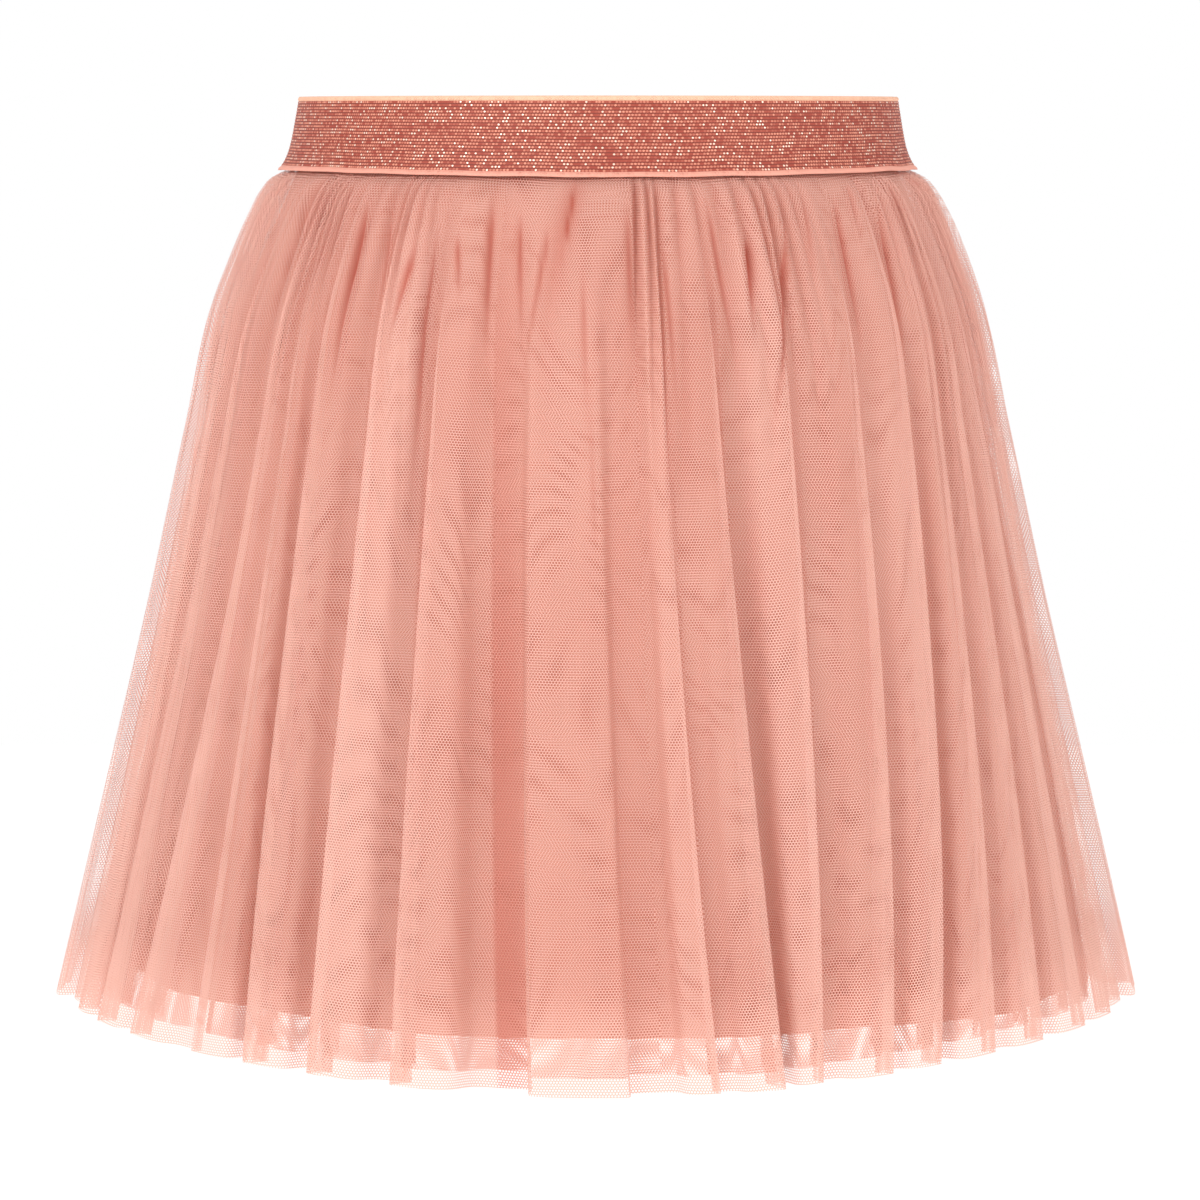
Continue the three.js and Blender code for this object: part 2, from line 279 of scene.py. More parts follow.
def noise(place, detail):
    """Blender's own noise, from about 0.2 to 0.8, with one large spot for each unit of place."""
    inputs = {"Vector": place, "Scale": 1.0, "Detail": detail}
    return Shade.node(place.tree, "ShaderNodeTexNoise", (), inputs, "Fac")


def chance(place):
    """A random number from 0 to 1 that stays the same wherever place is the same."""
    return Shade.node(place.tree, "ShaderNodeTexWhiteNoise", (), {"Vector": place}, "Value")


def mark(shade, name):
    """The number that the mesh keeps at its points under a name."""
    return Shade.node(shade.tree, "ShaderNodeAttribute", {"attribute_name": name}, output="Fac")


def cloth_material(name, width, height):
    """A new material with its Principled shader, and how far along and down the flat cloth a spot
    lies, in millimetres, on a map of the given width and height."""
    material = bpy.data.materials.new(name)
    material.use_nodes = True
    tree = material.node_tree
    shader = next(node for node in tree.nodes if node.type == "BSDF_PRINCIPLED")
    uv = Shade.node(tree, "ShaderNodeUVMap", {"uv_map": "cloth"})
    split = uv.tree.nodes.new("ShaderNodeSeparateXYZ")
    tree.links.new(uv.socket, split.inputs[0])
    return material, shader, Shade(split.outputs["X"]) * width, Shade(split.outputs["Y"]) * height


def feed(shader, **shades):
    """Links shades to the named inputs of a shader; an underscore stands for a space."""
    for name, shade in shades.items():
        shader.id_data.links.new(shade.socket, shader.inputs[name.replace("_", " ")])


def bump(height, distance):
    """Normals of a surface raised by height times distance, in metres."""
    inputs = {"Height": height, "Distance": distance, "Strength": 1.0}
    return Shade.node(height.tree, "ShaderNodeBump", (), inputs)


# Colours of the elastic as linear light, the length of a stitch in millimetres, and how far each
# rib's stitches start behind those of the rib above, as a share of a stitch
PEACH_SELVEDGE = (0.90, 0.50, 0.33)
SALMON_SELVEDGE = (0.83, 0.36, 0.27)
BRICK_YARN = (0.35, 0.052, 0.028)
DARK_GAP = (0.16, 0.022, 0.013)
PINK_YARN = (0.79, 0.30, 0.20)
# Near-white colour of the glitter foil spots, which paints a glint on them
GLITTER_FOIL_AND_PAINTED_GLINT = (1.0, 0.86, 0.72)
STITCH_LENGTH = 1.08
STITCH_STAGGER = 0.37


def elastic_material():
    """Each stitch of a rib is one cell of the weave, with a round float of pink metallic yarn over
    brick red. A chance number for each cell sets how bright its float is and where a spot of
    glitter foil lies, half metallic and painted near white as a glint, and in long streaks along a
    rib the floats are few."""
    material, shader, along, down = cloth_material(
        "glitter_elastic", BAND_MAP_LENGTH, PROFILE_LENGTH
    )
    rib = (down - SELVEDGE) * (BAND_RIBS / (BAND_HEIGHT - 2 * SELVEDGE))
    stitch = along * (1.0 / STITCH_LENGTH) + rib.whole() * STITCH_STAGGER
    luck = chance(spot(stitch.whole(), rib.whole()))
    streak = noise(spot(along * 0.06, rib.whole() * 1.7), detail=3.0)
    in_rib = rib.fraction() - 0.5
    in_stitch = stitch.fraction() - 0.5
    away = in_rib * in_rib + in_stitch * in_stitch * 0.8
    floating = (1.0 - away.step(0.06, 0.2)) * (luck * 0.7 + streak * 1.3).step(0.6, 1.25)
    ground = blended(in_rib.size().step(0.25, 0.5), BRICK_YARN, DARK_GAP)
    woven = blended(floating, ground, PINK_YARN)
    # Glitter foil spots: half metallic and smoother, with a painted near-white glint as their colour
    foil_and_painted_glint = (luck + streak * 0.5).step(1.06, 1.16) * (1.0 - away.step(0.02, 0.1))
    woven = blended(foil_and_painted_glint, woven, GLITTER_FOIL_AND_PAINTED_GLINT)
    edge = BAND_HEIGHT / 2 - SELVEDGE
    selvedge = (down - BAND_HEIGHT / 2).size().step(edge - 0.15, edge)
    outside = 1.0 - (down > BAND_HEIGHT)
    lower_half = down.step(0.4 * BAND_HEIGHT, 0.6 * BAND_HEIGHT)
    thread = blended(lower_half, PEACH_SELVEDGE, SALMON_SELVEDGE)
    feed(shader, Base_Color=blended(selvedge * outside, woven, thread))
    feed(shader, Metallic=foil_and_painted_glint * 0.5, Roughness=0.62 - foil_and_painted_glint * 0.3)
    feed(shader, Normal=bump(floating + luck * 0.3, 0.00016))
    return material


angle = np.linspace(0.0, 360.0, BAND_COLUMNS, endpoint=False)
share, out = band_profile()
length = np.where(out > -BAND_THICKNESS, share, 2.0 - share) * BAND_HEIGHT / PROFILE_LENGTH
place = flat_place(np.linspace(0.0, 1.0, BAND_COLUMNS + 1), np.append(length, 1.0))
band = cloth_mesh("waistband_elastic", waistband_points(angle[None, :]), place)
band.data.materials.append(elastic_material())
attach(band, "root")
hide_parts("waistband")


# Lining
# Plain coral cloth, cut as an A-line front and back panel and sewn into the waistband under the
# tulle. It hangs in soft flutes, and its lower edge is turned up and stitched 12 mm above it.
SEAM_TOP = -5.0
LINING_FLUTES = 5
LINING_SAG = 1.2
LINING_EASE = 0.7
LINING_HEM_RISE = {"left": 13.0, "right": 4.5}
LINING_TURN_UP = 12.0
LINING_ROWS = 70
LINING_COLUMNS = 150
LINING_FLAT_WIDTH = 440.0
LINING_FLAT_LENGTH = 285.0
LINING_THREADS_PER_MM = 2.9
LINING_SECTIONS = {
    "z": (-283.5, -160.0, -60.0, -13.4, -5.0),
    "half_width": (162.5, 140.0, 118.0, 98.4, 96.3),
    "half_depth": (119.5, 103.4, 90.4, 77.6, 76.1),
    "flute": (6.5, 4.0, 2.0, 0.2, 0.0),
}
LINING_CLOTH = (0.68, 0.23, 0.155)
# Colour of the painted shade streaks and of the hem's stitches
LINING_STITCH_AND_PAINTED_SHADE = (0.58, 0.165, 0.105)
LINING_THREAD = (0.63, 0.20, 0.13)


def lining_points(turn):
    """Each row is an oval between the sections' sizes, with flutes as a squared cosine that dips
    inward between the side seams and the ridges, and a slight sag that differs along the panel."""
    sections = LINING_SECTIONS
    z = np.linspace(SEAM_TOP, sections["z"][0], LINING_ROWS)[:, None]
    share = np.linspace(0.0, 1.0, LINING_COLUMNS)[None, :]
    half_width, half_depth, flute = (
        np.interp(z, sections["z"], sections[size])
        for size in ("half_width", "half_depth", "flute")
    )
    fall = (z - SEAM_TOP) / (sections["z"][0] - SEAM_TOP)
    off_seam = np.sin(np.pi * share)
    wander = 0.8 * drift(share * 9.0, fall * 2.0, waves=5, seed=20 + turn) * off_seam
    dip = flute * (1.0 - np.cos(2.0 * np.pi * LINING_FLUTES * share + wander)) / 2.0
    uneven = 1.0 + drift(share * 22.0, fall * 5.0, waves=6, seed=21 + turn)
    sag = LINING_SAG * fall * uneven * off_seam
    angle = mix(-90.0, 90.0, share)
    x, y = on_oval(half_width, half_depth, angle + turn, -dip - sag)
    rise = np.where(x < 0.0, LINING_HEM_RISE["left"], LINING_HEM_RISE["right"])
    ease = LINING_EASE * fall * drift(share * 14.0, 0.0, waves=5, seed=22 + turn)
    return np.stack([x, y, z + side_lift(angle, mix(BAND_SIDE_LIFT, rise, fall)) + ease], axis=-1)


def lining_material():
    """A fine plain weave of 0.35 mm threads, darkened by painted shade in long soft streaks down the
    cloth, with the hem's stitches as a broken line of thread that dents and darkens it."""
    material, shader, along, down = cloth_material(
        "lining_cloth", LINING_FLAT_WIDTH, LINING_FLAT_LENGTH
    )
    threads = (along * LINING_THREADS_PER_MM).fraction() - 0.5
    rows = (down * LINING_THREADS_PER_MM).fraction() - 0.5
    weave = (threads.size() + rows.size()).step(0.2, 0.9)
    # Long soft streaks where painted shade darkens the lining
    streak = noise(spot(along * 0.08, down * 0.012), detail=2.0)
    from_stitches = (down - (LINING_FLAT_LENGTH - LINING_TURN_UP)).size()
    between_stitches = ((along * 0.4).fraction() - 0.12).step(0.0, 0.05)
    stitch = (1.0 - from_stitches.step(0.15, 0.4)) * between_stitches
    colour = blended(streak.step(0.35, 0.75), LINING_CLOTH, LINING_STITCH_AND_PAINTED_SHADE)
    colour = blended(weave * 0.25, colour, LINING_THREAD)
    feed(shader, Base_Color=blended(stitch * 0.4, colour, LINING_STITCH_AND_PAINTED_SHADE))
    feed(shader, Normal=bump(weave * 0.12 - stitch, 0.0003))
    shader.inputs["Roughness"].default_value = 0.8
    return material


lining_cloth = lining_material()
across, down = np.linspace(0.0, 1.0, LINING_COLUMNS), np.linspace(0.0, 1.0, LINING_ROWS)
lining_place = flat_place(across, down)
for side, turn in (("front", 0), ("back", 180)):
    lining = cloth_mesh(f"lining_cloth_{side}", lining_points(turn), lining_place)
    lining.data.materials.append(lining_cloth)
    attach(lining, "root")
    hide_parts(f"lining_{side}")


# Tulle
# Two layers of soft nylon net, each a straight front and back panel 0.76 or 0.70 m wide. They are
# gathered together to about two fifths of that and sewn inside the waistband's lower edge. Below
# it the small gathers run together into folds, whose edges turn back over the valleys.
NET_MAP_WIDTH = 1000.0
NET_MAP_LENGTH = 300.0
NET_MAP_START = 3.0
NET_GIVE_ACROSS = 2.0
NET_GIVE_DOWN = 1.5
TULLE_HEM = -298.0
TULLE_EDGE = -13.3
TULLE_SIDE_LIFT = 16.5
ROW_CLOSENESS = 0.55

# How folds and gathers are shaped: squareness flattens crests, a sweep is the power at which a
# turn grows down the cloth, and sizes are millimetres or shares of a fold
FOLD_OVERHANG = 1.1
EDGE_SQUARENESS = 2.2
SLOPE_SQUARENESS = 1.1
NARROW_VALLEY = 0.3
VALLEY_SWEEP = 1.6
OVERHANG_SWEEP = 0.5
SEAM_HEIGHT = 0.9
UPRIGHT_LEAN = 0.05
GATHERS_PER_FOLD = 3.0
GATHER_UNEVENNESS = 2.0
GATHER_SHIFT = 2.4
GATHER_REACH = 0.5
TULLE_SWAY = 1.5
TULLE_HEM_EASE = 0.8
PARTING_SPREAD = 24

# Where painted shade darkens the net or the net lies close: place and width of a fold's turned
# rim and width of the painted shade under it as shares of a fold, and how strong the marks of
# seams (more thread and painted shade), crumples (painted shade) and hem (more thread) are
RIM_PLACE = 0.335
RIM_WIDTH = 0.03
PAINTED_SHADE_WIDTH = 0.16
SEAM_COLUMNS = 0.7
SEAM_THREAD_AND_PAINTED_SHADE = 0.4
CRUMPLE_PAINTED_SHADE = 0.22
HEM_CLOSER = 0.6

# Half width and half depth of the skirt, depth of its folds and depth of its gathers at heights
# from the hem to the seam inside the waistband, in millimetres
TULLE_SECTIONS = {
    "z": (-298.0, -220.0, -160.0, -100.0, -60.0, -40.0, -27.0, -19.5, -15.5, -14.3, -13.3, -5.0),
    "half_width": (178.8, 161.6, 148.3, 136.1, 127.8, 120.6, 115.2, 111.2, 107.6, 105.4, 102.9, 100.0),
    "half_depth": (143.0, 129.4, 119.0, 109.2, 102.6, 97.0, 92.8, 89.7, 86.7, 84.7, 82.0, 79.6),
    "fold": (17.0, 14.9, 12.0, 8.6, 6.0, 4.2, 2.8, 1.9, 0.9, 0.5, 0.1, 0.0),
    "gather": (0.0, 0.0, 0.1, 0.5, 0.9, 1.3, 1.6, 1.5, 1.1, 0.8, 0.4, 0.2),
}

# Folds from the left seam to the right one: the angle of the valley that ends each at the waist
# and at the hem, the heights of its crest and of that valley as shares of the fold's depth, how
# far its edge turns over to the right, and how closely a second layer lies behind it
FOLD_COLUMNS = ("waist", "hem", "crest", "valley", "lean", "double")
FRONT_FOLDS = (
    (-83.0, -81.0, 1.00, 0.42, 0.05, 0.0),
    (-74.0, -73.0, 0.72, 0.50, -0.20, 0.0),
    (-65.0, -66.0, 0.92, 0.60, -0.25, 0.2),
    (-53.5, -57.8, 0.95, 0.62, -0.30, 0.0),
    (-49.5, -48.5, 0.95, 0.70, -0.35, 0.1),
    (-45.5, -39.4, 0.90, 0.40, -0.15, 0.0),
    (-35.2, -31.2, 0.95, 0.35, -0.35, 0.0),
    (-25.5, -21.8, 0.92, 0.40, -0.35, 0.7),
    (-15.5, -10.8, 0.95, 0.10, -0.30, 0.1),
    (5.5, 7.0, 1.00, 0.40, 0.00, 0.0),
    (9.8, 13.0, 0.85, 0.60, 0.25, 0.2),
    (18.0, 19.6, 1.00, 0.15, 0.30, 0.0),
    (30.5, 24.3, 0.80, 0.45, 0.25, 0.4),
    (42.3, 32.0, 0.92, 0.50, 0.30, 0.0),
    (52.3, 38.4, 0.85, 0.35, 0.30, 0.2),
    (58.5, 46.5, 0.90, 0.60, 0.20, 0.0),
    (64.0, 54.0, 0.93, 0.55, 0.25, 0.0),
    (70.0, 63.0, 0.95, 0.70, 0.20, 0.3),
    (76.5, 71.0, 0.92, 0.60, 0.15, 0.0),
    (83.0, 80.0, 0.75, 0.45, 0.10, 0.0),
    (90.0, 90.0, 0.92, 0.90, 0.00, 0.0),
)
BACK_FOLDS = (
    (-84.0, -81.0, 1.00, 0.42, 0.05, 0.0),
    (-75.5, -70.0, 0.75, 0.60, 0.15, 0.0),
    (-69.0, -62.0, 1.00, 0.70, -0.20, 0.2),
    (-58.0, -50.0, 0.92, 0.35, -0.30, 0.0),
    (-50.5, -43.0, 0.88, 0.55, -0.20, 0.1),
    (-40.0, -33.0, 0.95, 0.20, -0.35, 0.0),
    (-25.5, -20.0, 0.90, 0.40, -0.30, 0.6),
    (-15.0, -12.0, 0.85, 0.55, -0.20, 0.0),
    (-5.0, -3.0, 0.95, 0.10, -0.25, 0.0),
    (10.0, 11.0, 1.00, 0.30, 0.10, 0.1),
    (20.0, 18.0, 0.82, 0.50, 0.30, 0.3),
    (36.0, 29.0, 0.95, 0.15, 0.35, 0.0),
    (46.5, 38.0, 0.88, 0.45, 0.20, 0.0),
    (58.0, 50.0, 0.95, 0.40, 0.35, 0.5),
    (65.5, 58.0, 0.90, 0.65, 0.15, 0.0),
    (76.0, 71.0, 0.95, 0.60, 0.20, 0.1),
    (83.5, 80.0, 0.72, 0.45, 0.10, 0.0),
    (90.0, 90.0, 0.92, 0.90, 0.00, 0.0),
)

# Creases between the gathers: angle and height where each starts and ends, its half width and
# its depth in millimetres
CREASE_COLUMNS = ("angle", "top", "end_angle", "end", "width", "depth")
FRONT_CREASES = (
    (-68.0, -14.5, -73.0, -24.0, 0.9, 1.6),
    (-60.0, -14.0, -61.5, -40.0, 0.8, 1.4),
    (-52.0, -14.5, -52.5, -46.0, 0.9, 1.6),
    (-47.5, -22.0, -48.5, -60.0, 0.8, 1.6),
    (-41.3, -15.0, -39.9, -98.0, 1.0, 4.0),
    (-35.8, -24.0, -34.3, -64.0, 1.0, 2.4),
    (-29.8, -34.0, -31.5, -74.0, 0.9, 2.2),
    (-26.6, -20.0, -26.2, -140.0, 0.8, 2.0),
    (-23.0, -30.0, -20.6, -56.0, 0.8, 1.8),
    (-18.0, -16.0, -16.4, -80.0, 0.9, 1.6),
    (-12.9, -20.0, -10.9, -74.0, 0.8, 1.8),
    (-7.6, -24.0, -11.0, -82.0, 0.8, 1.6),
    (-3.7, -13.0, -6.2, -46.0, 0.7, 1.8),
    (-2.6, -32.0, 0.3, -150.0, 0.6, 1.2),
    (4.5, -15.0, 5.6, -90.0, 0.8, 1.6),
    (10.0, -30.0, 11.3, -96.0, 0.7, 1.4),
    (18.2, -16.0, 20.9, -84.0, 0.9, 1.8),
    (24.6, -30.0, 22.8, -68.0, 1.1, 2.6),
    (32.4, -20.0, 23.5, -108.0, 0.9, 2.2),
    (36.5, -14.5, 34.5, -52.0, 0.8, 1.6),
    (43.5, -16.0, 41.2, -84.0, 1.0, 2.0),
    (48.0, -14.0, 46.0, -40.0, 0.8, 1.4),
    (53.5, -18.0, 49.5, -102.0, 1.0, 2.0),
    (60.0, -14.5, 58.0, -52.0, 0.8, 1.5),
    (67.9, -50.0, 67.6, -104.0, 1.0, 2.0),
    (70.0, -14.0, 76.0, -24.0, 0.9, 1.6),
)
BACK_CREASES = (
    (-72.0, -14.5, -74.0, -30.0, 0.9, 1.5),
    (-61.0, -15.0, -58.0, -70.0, 1.0, 1.8),
    (-47.0, -18.0, -45.0, -92.0, 1.2, 3.2),
    (-38.5, -14.0, -37.0, -58.0, 0.8, 1.6),
    (-30.0, -24.0, -27.0, -110.0, 0.9, 2.2),
    (-20.5, -14.5, -19.0, -52.0, 0.8, 1.6),
    (-11.0, -20.0, -10.0, -84.0, 1.0, 2.0),
    (-2.0, -14.0, -2.5, -44.0, 0.7, 1.4),
    (3.5, -28.0, 2.0, -120.0, 0.8, 1.8),
    (12.5, -15.0, 13.0, -64.0, 0.9, 1.8),
    (22.0, -18.0, 20.0, -96.0, 1.3, 3.4),
    (29.0, -14.5, 27.5, -48.0, 0.8, 1.5),
    (41.0, -16.0, 37.5, -88.0, 1.0, 2.2),
    (52.0, -14.0, 50.0, -50.0, 0.8, 1.5),
    (61.0, -20.0, 57.0, -100.0, 1.0, 2.0),
    (71.0, -14.5, 73.0, -34.0, 0.9, 1.5),
)


def eased(z, heights, sizes):
    """Sizes at heights between a table's rows: a cubic curve through the rows, whose slope at each
    row is the mean slope of its neighbours."""
    heights, sizes = np.array(heights), np.array(sizes)
    slopes = np.gradient(sizes, heights)
    after = np.clip(np.searchsorted(heights, z), 1, heights.size - 1)
    before = after - 1
    span = heights[after] - heights[before]
    s = (z - heights[before]) / span
    rise = sizes[before] * (1 + 2 * s) * (1 - s) ** 2 + sizes[after] * s * s * (3 - 2 * s)
    return rise + span * s * (1 - s) * (slopes[before] * (1 - s) - slopes[after] * s)


def crease_troughs(creases, angle, z, radius):
    """How far each point of the cloth is drawn in by the creases, and how far inside one it lies,
    from 0 to 1, which the net's painted shade follows. Each crease is a bell curve across its line,
    whose depth and width swell soon below its start and fade slowly to its end."""
    drawn, deepest = 0.0, 0.0
    for row in creases:
        crease = dict(zip(CREASE_COLUMNS, row))
        share = (crease["top"] - z) / (crease["top"] - crease["end"])
        swell = smooth(0.0, 0.25, share) * smooth(1.0, 0.35, share)
        line = mix(crease["angle"], crease["end_angle"], np.clip(share, 0.0, 1.0))
        away = np.radians(angle - line) * radius / (crease["width"] * (0.4 + 0.6 * swell))
        trough = swell * np.exp(-away * away)
        drawn = drawn + crease["depth"] * trough
        deepest = np.maximum(deepest, trough * min(1.0, crease["depth"] / 2.5))
    return drawn, deepest


def row_shares(rows):
    """Shares of the panel's length at its rows: an even run mixed with its own square, so that the
    rows are closer together in the gathers."""
    down = np.linspace(0.0, 1.0, rows)
    return mix(down, down * down, ROW_CLOSENESS)


def tulle_panel(folds, creases, turn, layer):
    """Each row of the cloth runs from seam to seam in folds. Across a fold, height is a flattened
    cosine between valley and crest, and the place is pushed sideways by sines that widen the
    ridge over its valleys and lean it over. Small gathers with round ridges and sharp valleys, the
    size of a sine, differ in depth and fade down the cloth, and the creases draw it in. The under
    layer has a share of that body, lies inside by its inset, and parts from the outer layer at the
    side seams and where it has crumpled. Gives the points, each point's place along its own row of
    cloth, how much painted shade it has in creases, valleys, gathers, seams and crumples and near
    the waistband, and how closely the net lies there."""
    table = dict(zip(FOLD_COLUMNS, np.array(folds).T))
    columns_per_fold, rows, body = layer["columns_per_fold"], layer["rows"], layer["body"]
    count = len(folds)
    cloth = np.linspace(0.0, count, count * columns_per_fold + 1)[None, :]
    fold = np.minimum(cloth.astype(int), count - 1)
    u = cloth - fold
    z = mix(SEAM_TOP, layer["hem"], row_shares(rows)[:, None])
    fall = np.clip((z - TULLE_EDGE) / (TULLE_HEM - TULLE_EDGE), 0.0, 1.0)
    half_width, half_depth, depth, gather = (
        eased(z, TULLE_SECTIONS["z"], TULLE_SECTIONS[size])
        for size in ("half_width", "half_depth", "fold", "gather")
    )

    # Folds
    sweep = fall ** VALLEY_SWEEP
    ends = mix(np.append(-90.0, table["waist"]), np.append(-90.0, table["hem"]), sweep)
    valleys = np.append(SEAM_HEIGHT, table["valley"])
    lean = table["lean"][fold]
    at_edge = np.where(lean > 0.0, u > 0.5, u < 0.5) | (np.abs(lean) < UPRIGHT_LEAN)
    square = np.where(at_edge, EDGE_SQUARENESS, SLOPE_SQUARENESS)
    wave = np.tanh(square * np.cos(2.0 * np.pi * u)) / np.tanh(square)
    valley = np.where(u < 0.5, valleys[fold], valleys[fold + 1])
    height = mix(valley, table["crest"][fold], (1.0 - wave) / 2.0)
    turned = body * fall ** OVERHANG_SWEEP
    leaning = lean * turned * (1.0 - np.cos(2.0 * np.pi * u)) / 2.0
    overhang = FOLD_OVERHANG * turned * np.sin(4.0 * np.pi * u) / (4.0 * np.pi)
    narrowing = NARROW_VALLEY * fall * np.sin(2.0 * np.pi * u) / (2.0 * np.pi)
    row = np.arange(rows)[:, None]
    angle = mix(ends[row, fold], ends[row, fold + 1], u + overhang + leaning - narrowing)

    # Gathers and creases
    uneven = drift(cloth * 2.2, fall * 3.0, waves=6, seed=30 + turn)
    uneven = np.clip(1.0 + GATHER_UNEVENNESS * uneven, 0.15, 2.0)
    shift = GATHER_SHIFT * drift(cloth * 1.3, fall * 2.5, waves=6, seed=31 + turn)
    reach = 1.0 + GATHER_REACH * drift(cloth * 1.9, 0.0, waves=5, seed=32 + turn)
    small = 2.0 * np.abs(np.sin(np.pi * (GATHERS_PER_FOLD * cloth + shift))) ** 0.8 - 1.0
    reached = np.clip(z * reach, TULLE_HEM, SEAM_TOP)
    fading = eased(reached, TULLE_SECTIONS["z"], TULLE_SECTIONS["gather"])
    gathers = np.minimum(gather, gather * 0.4 + fading * 0.8) * uneven * small
    drawn, in_crease = crease_troughs(creases, angle, z, half_width)

    # Place of the layer
    seam = smooth(0.0, 0.6, cloth) * smooth(0.0, 0.6, count - cloth)
    sway = TULLE_SWAY * fall * drift(cloth * 0.9, fall * 4.0, waves=8, seed=33 + turn)
    parting = layer["parting"] * np.sqrt(fall) * np.sin(np.radians(angle)) ** PARTING_SPREAD
    crumple = drift(cloth * 3.4, fall * 13.0, waves=8, seed=35 + turn)
    crumple = seam * smooth(-0.5, 0.7, crumple)
    inset = layer["inset"] + layer["crumple"] * fall * crumple + parting
    out = body * depth * height + (body * gathers + sway - drawn) * seam - inset
    inner = depth + gather
    x, y = on_oval(half_width - inner, half_depth - inner, angle + turn, out)
    lift = side_lift(angle, mix(BAND_SIDE_LIFT, TULLE_SIDE_LIFT, fall))
    ease = drift(cloth * 1.1, 0.0, waves=6, seed=34 + turn + rows)
    points = np.stack([x, y, z + lift + TULLE_HEM_EASE * fall * seam * ease], axis=-1)
    step = np.linalg.norm(np.diff(points, axis=1), axis=-1)
    along = np.concatenate([np.zeros((rows, 1)), np.cumsum(step, axis=1)], axis=1)

    # Painted shade that darkens the net in creases, under turned edges, in gather valleys, near the
    # waistband, at seams and where it crumples; and where the net lies close
    under_edge = np.exp(-(((u - np.where(lean > 0.0, 1.0, 0.0)) / PAINTED_SHADE_WIDTH) ** 2))
    painted_valley_shade = smooth(0.75, 0.2, height) * under_edge * turned
    pinch = np.clip(-small, 0.0, 1.0) * smooth(0.3, 1.8, gather) * uneven
    near_waist = 0.04 * smooth(0.5, 0.0, fall)
    # Painted shade of creases, of the valleys under turned edges, of gather valleys and near the
    # waistband
    deep = np.clip(in_crease + 0.5 * painted_valley_shade + 0.2 * pinch + near_waist, 0.0, 1.0)
    rim_place = np.where(lean > 0.0, 1.0 - RIM_PLACE, RIM_PLACE)
    rim = np.exp(-(((u - rim_place) / RIM_WIDTH) ** 2)) * turned * smooth(0.0, 0.2, np.abs(lean))
    columns_from_seam = columns_per_fold * np.minimum(cloth, count - cloth)
    # More thread and painted shade along the side seams
    stitched = SEAM_THREAD_AND_PAINTED_SHADE * np.clip(2.0 - columns_from_seam * SEAM_COLUMNS, 0.0, 1.0)
    at_hem = HEM_CLOSER * smooth(0.88, 0.95, fall)
    off_edges = smooth(0.12, 0.3, np.minimum(u, 1.0 - u))
    double = table["double"][fold] * smooth(0.0, 0.15, fall) * off_edges
    # Painted shade where the under layer has crumpled away
    crumpled = CRUMPLE_PAINTED_SHADE * layer["crumple"] * crumple * smooth(0.0, 0.2, fall)
    deep = np.minimum(np.maximum(deep + crumpled, stitched), 1.0)
    dense = np.maximum(np.maximum(rim, stitched), np.maximum(double, at_hem))
    return points, along, deep, dense


def net_place(along, layer, turn):
    """Places on the flat net. Each fold keeps its own middle line straight down the cloth, and its
    width at each row is measured from that line, so the holes keep their size. Slow drifts of one
    or two millimetres stand for the give of the net."""
    columns_per_fold, rows = layer["columns_per_fold"], layer["rows"]
    columns = along.shape[1] - 1
    middle = np.arange(columns) // columns_per_fold * columns_per_fold + columns_per_fold // 2
    start = (NET_MAP_WIDTH - along[-1, -1]) / 2.0
    sides = np.stack([along[:, :-1], along[:, 1:]], axis=2)
    across = start + along[-1, middle][None, :, None] + sides - along[:, middle][:, :, None]
    length = (row_shares(rows) * (SEAM_TOP - layer["hem"]))[:, None, None]
    give = NET_GIVE_ACROSS * drift(across * 0.06, length * 0.03, waves=7, seed=40 + turn + rows)
    slip = NET_GIVE_DOWN * drift(across * 0.07, length * 0.03, waves=7, seed=41 + turn + rows)
    place = np.stack(np.broadcast_arrays(across + give, length + slip + NET_MAP_START), axis=-1)
    return place / (NET_MAP_WIDTH, NET_MAP_LENGTH)


# Distance between holes, level and softness of a thread's edge, how much more thread there is
# where the net lies close, and colours as linear light
NET_PITCH = 0.95
NET_LEVEL = 0.13
NET_SOFTNESS = 0.07
NET_DENSER = 0.5
SIX_SIDED = math.sqrt(3.0)
OUTER_NET = (0.84, 0.475, 0.39)
UNDER_NET = (0.82, 0.42, 0.335)
# Colour towards which painted shade darkens the net
PAINTED_SHADE_NET = (0.60, 0.12, 0.075)


def net_material(name, colour, skew, stretch):
    """Six-sided net. Three rows of waves at 60 degrees add up to a hill in each hole, which is
    cos B times (cos A + cos B) with A across and B down the cloth, and what lies under a level is
    thread. Where the net lies close, at turned edges, seams and the hem, each hill is lower, and
    where it carries painted shade its colour is nearer to the painted shade colour."""
    material, shader, along, down = cloth_material(name, NET_MAP_WIDTH, NET_MAP_LENGTH)
    across = ((along + down * skew) * (2.0 * math.pi / NET_PITCH)).cosine()
    below = (down * (2.0 * math.pi * stretch / (NET_PITCH * SIX_SIDED))).cosine()
    hill = below * (across + below) - mark(along, "dense") * NET_DENSER
    feed(shader, Alpha=1.0 - hill.step(NET_LEVEL - NET_SOFTNESS, NET_LEVEL + NET_SOFTNESS))
    # The net's colour, darkened towards the painted shade colour where the mesh marks painted shade
    feed(shader, Base_Color=blended(mark(along, "deep"), colour, PAINTED_SHADE_NET))
    shader.inputs["Roughness"].default_value = 0.65
    shader.inputs["Specular IOR Level"].default_value = 0.3
    return material


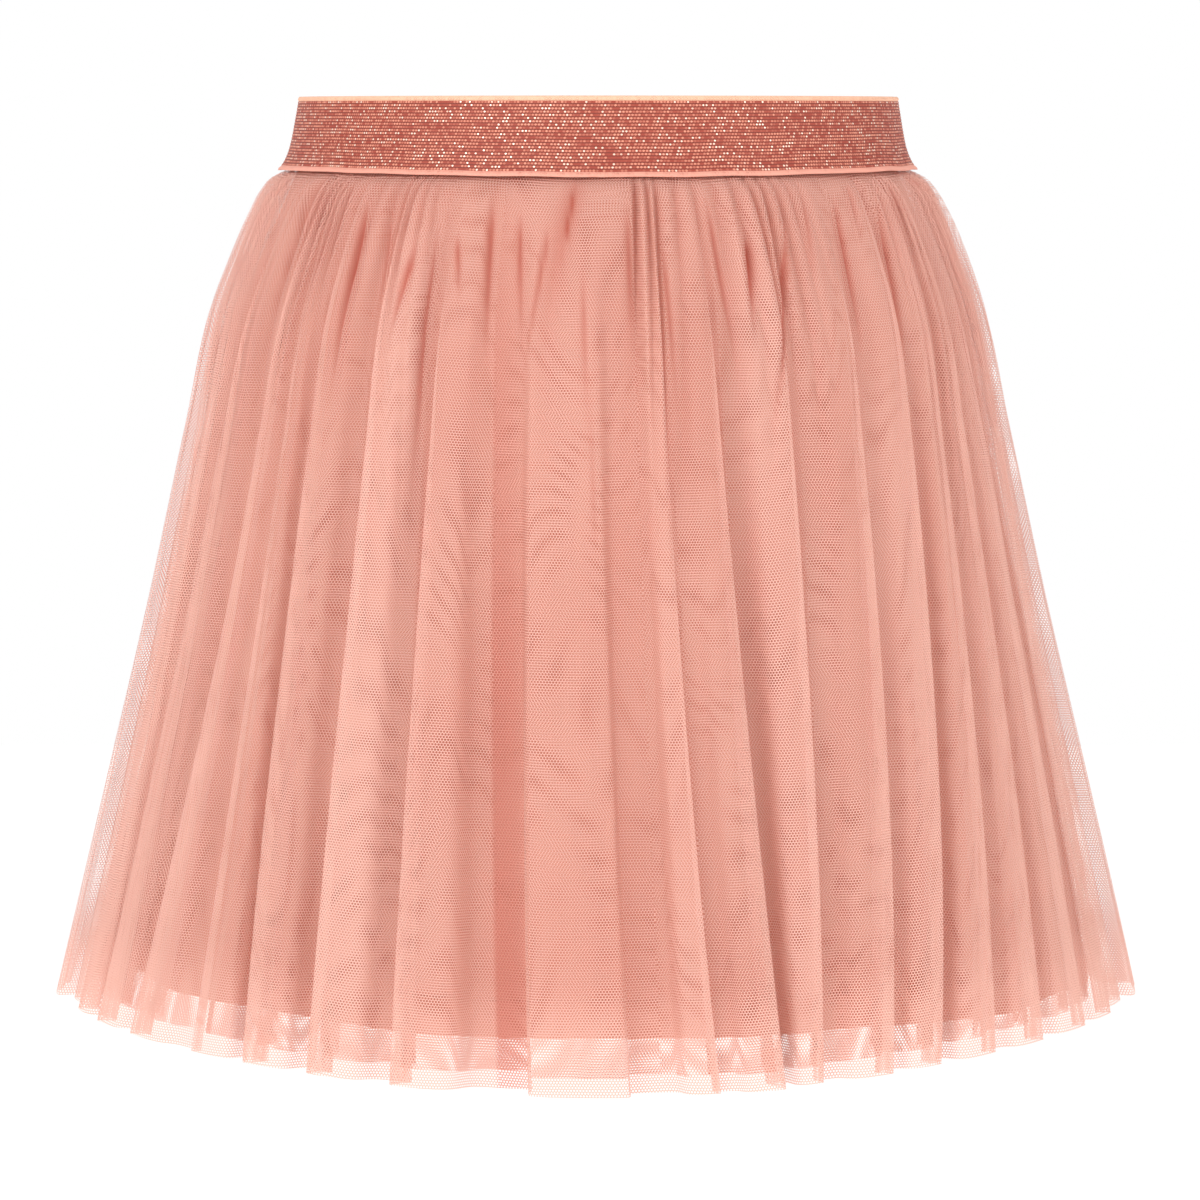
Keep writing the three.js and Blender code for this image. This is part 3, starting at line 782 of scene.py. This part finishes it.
# skew and stretch turn a layer's holes a little against the other's. body is its share of the
# folds' depth, and inset, parting and crumple are how many millimetres it lies inside the other
NET_LAYERS = {
    "outer": {
        "colour": OUTER_NET, "skew": 0.0, "stretch": 1.0, "flat": (0.76, 0.293),
        "hem": TULLE_HEM, "body": 1.0, "inset": 0.0, "parting": 0.0, "crumple": 0.0,
        "columns_per_fold": 40, "rows": 110,
    },
    "under": {
        "colour": UNDER_NET, "skew": 0.075, "stretch": 1.01, "flat": (0.70, 0.288),
        "hem": TULLE_HEM + 5.0, "body": 0.86, "inset": 1.7, "parting": 7.0, "crumple": 2.5,
        "columns_per_fold": 30, "rows": 100,
    },
}
PANELS = {"front": (FRONT_FOLDS, FRONT_CREASES, 0), "back": (BACK_FOLDS, BACK_CREASES, 180)}
for name, layer in NET_LAYERS.items():
    net = net_material(f"{name}_net", layer["colour"], layer["skew"], layer["stretch"])
    for side, (folds, creases, turn) in PANELS.items():
        points, along, deep, dense = tulle_panel(folds, creases, turn, layer)
        place = net_place(along, layer, turn)
        tulle = cloth_mesh(f"tulle_{name}_net_{side}", points, place, deep=deep, dense=dense)
        tulle.data.materials.append(net)
        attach(tulle, "root")
        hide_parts(f"tulle_{name}_{side}")


# Floor and light
# A plain pale floor well below the hem, which glows a little so that it ends in no line, a white
# studio round it, and two large soft lamps.
FLOOR = -0.75
FLOOR_SIZE = 12.0
FLOOR_COLOUR = (0.94, 0.93, 0.92)
FLOOR_GLOW = 0.33

floor_mesh = bpy.data.meshes.new("floor")
half = FLOOR_SIZE / 2
corners = [(-half, -half, FLOOR), (half, -half, FLOOR), (half, half, FLOOR), (-half, half, FLOOR)]
floor_mesh.from_pydata(corners, [], [(0, 1, 2, 3)])
floor = bpy.data.objects.new("floor", floor_mesh)
bpy.context.scene.collection.objects.link(floor)
floor_material = bpy.data.materials.new("pale_floor")
floor_material.use_nodes = True
floor_shader = next(n for n in floor_material.node_tree.nodes if n.type == "BSDF_PRINCIPLED")
floor_shader.inputs["Base Color"].default_value = (*FLOOR_COLOUR, 1.0)
floor_shader.inputs["Roughness"].default_value = 0.9
floor_shader.inputs["Emission Color"].default_value = (*FLOOR_COLOUR, 1.0)
floor_shader.inputs["Emission Strength"].default_value = FLOOR_GLOW
floor.data.materials.append(floor_material)

LAMPS = {
    "key": {"at": (-1.3, -1.9, 1.1), "side": 1.3, "power": 30.0},
    "fill": {"at": (1.9, -1.5, 0.5), "side": 1.6, "power": 15.0},
}
for name, lamp in LAMPS.items():
    light = bpy.data.lights.new(name, "AREA")
    light.size = lamp["side"]
    light.energy = lamp["power"]
    shown = bpy.data.objects.new(name, light)
    shown.location = lamp["at"]
    shown.rotation_mode = "QUATERNION"
    shown.rotation_quaternion = (LOOKS_AT - Vector(lamp["at"])).to_track_quat("-Z", "Y")
    bpy.context.scene.collection.objects.link(shown)

STUDIO_LIGHT = 0.79
world = bpy.data.worlds.new("studio")
world.use_nodes = True
bpy.context.scene.world = world
backdrop = next(n for n in world.node_tree.nodes if n.type == "BACKGROUND")
seen = Shade.node(world.node_tree, "ShaderNodeLightPath", output="Is Camera Ray")
strength = STUDIO_LIGHT + seen * (1.0 - STUDIO_LIGHT)
world.node_tree.links.new(strength.socket, backdrop.inputs["Strength"])
backdrop.inputs["Color"].default_value = (1.0, 1.0, 1.0, 1.0)

bpy.context.scene.view_settings.view_transform = "Standard"
bpy.context.scene.cycles.transparent_max_bounces = 32
bpy.context.scene.cycles.max_bounces = 6
bpy.context.scene.cycles.diffuse_bounces = 3
